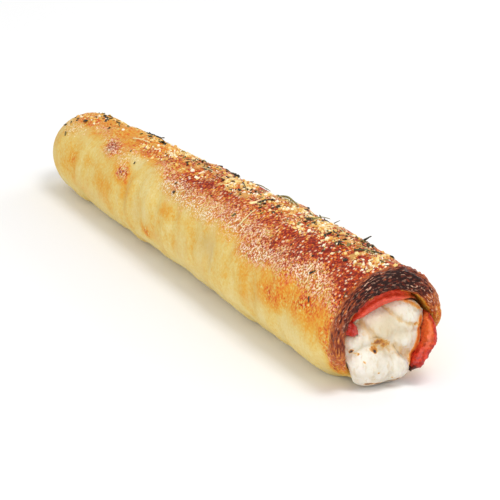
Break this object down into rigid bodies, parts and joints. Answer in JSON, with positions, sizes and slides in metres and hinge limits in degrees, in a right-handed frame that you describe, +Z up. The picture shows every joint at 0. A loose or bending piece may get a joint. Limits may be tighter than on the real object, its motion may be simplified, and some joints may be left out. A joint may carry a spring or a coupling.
{
  "type": "pizza roll",
  "caption": "Long baked dough roll, closed at one end, with pepperoni and melted mozzarella showing at its open mouth, and herbs and grated cheese on top.",
  "frame": {"origin": "under the middle of the roll's box, on the surface that the roll lies on", "axes": "+X along the roll from its closed end to its open mouth, +Y level to the far side from where the picture is taken, +Z up"},
  "size_m": [0.2716, 0.0456, 0.0438],
  "materials": {
    "crust": "baked dough, pale buttery yellow at the sides, golden to red-brown on top, nearly black and glossy round the mouth",
    "pepperoni": "bright red cured sausage, moist and greasy, with a dark baked edge",
    "cheese": "melted mozzarella, creamy white, smooth and slightly glossy, with toasted tan spots",
    "herb": "dried herb flakes and stalks, dark olive green to brown",
    "grated_cheese": "grated hard cheese, pale yellow, baked dry",
    "grain": "grains of semolina and crumbs of hard cheese, pale cream"
  },
  "bodies": {
    "root": {"crust": "crust", "pepperoni_top": "pepperoni", "pepperoni_left": "pepperoni", "pepperoni_right": "pepperoni", "cheese": "cheese"}
  },
  "joints": []
}
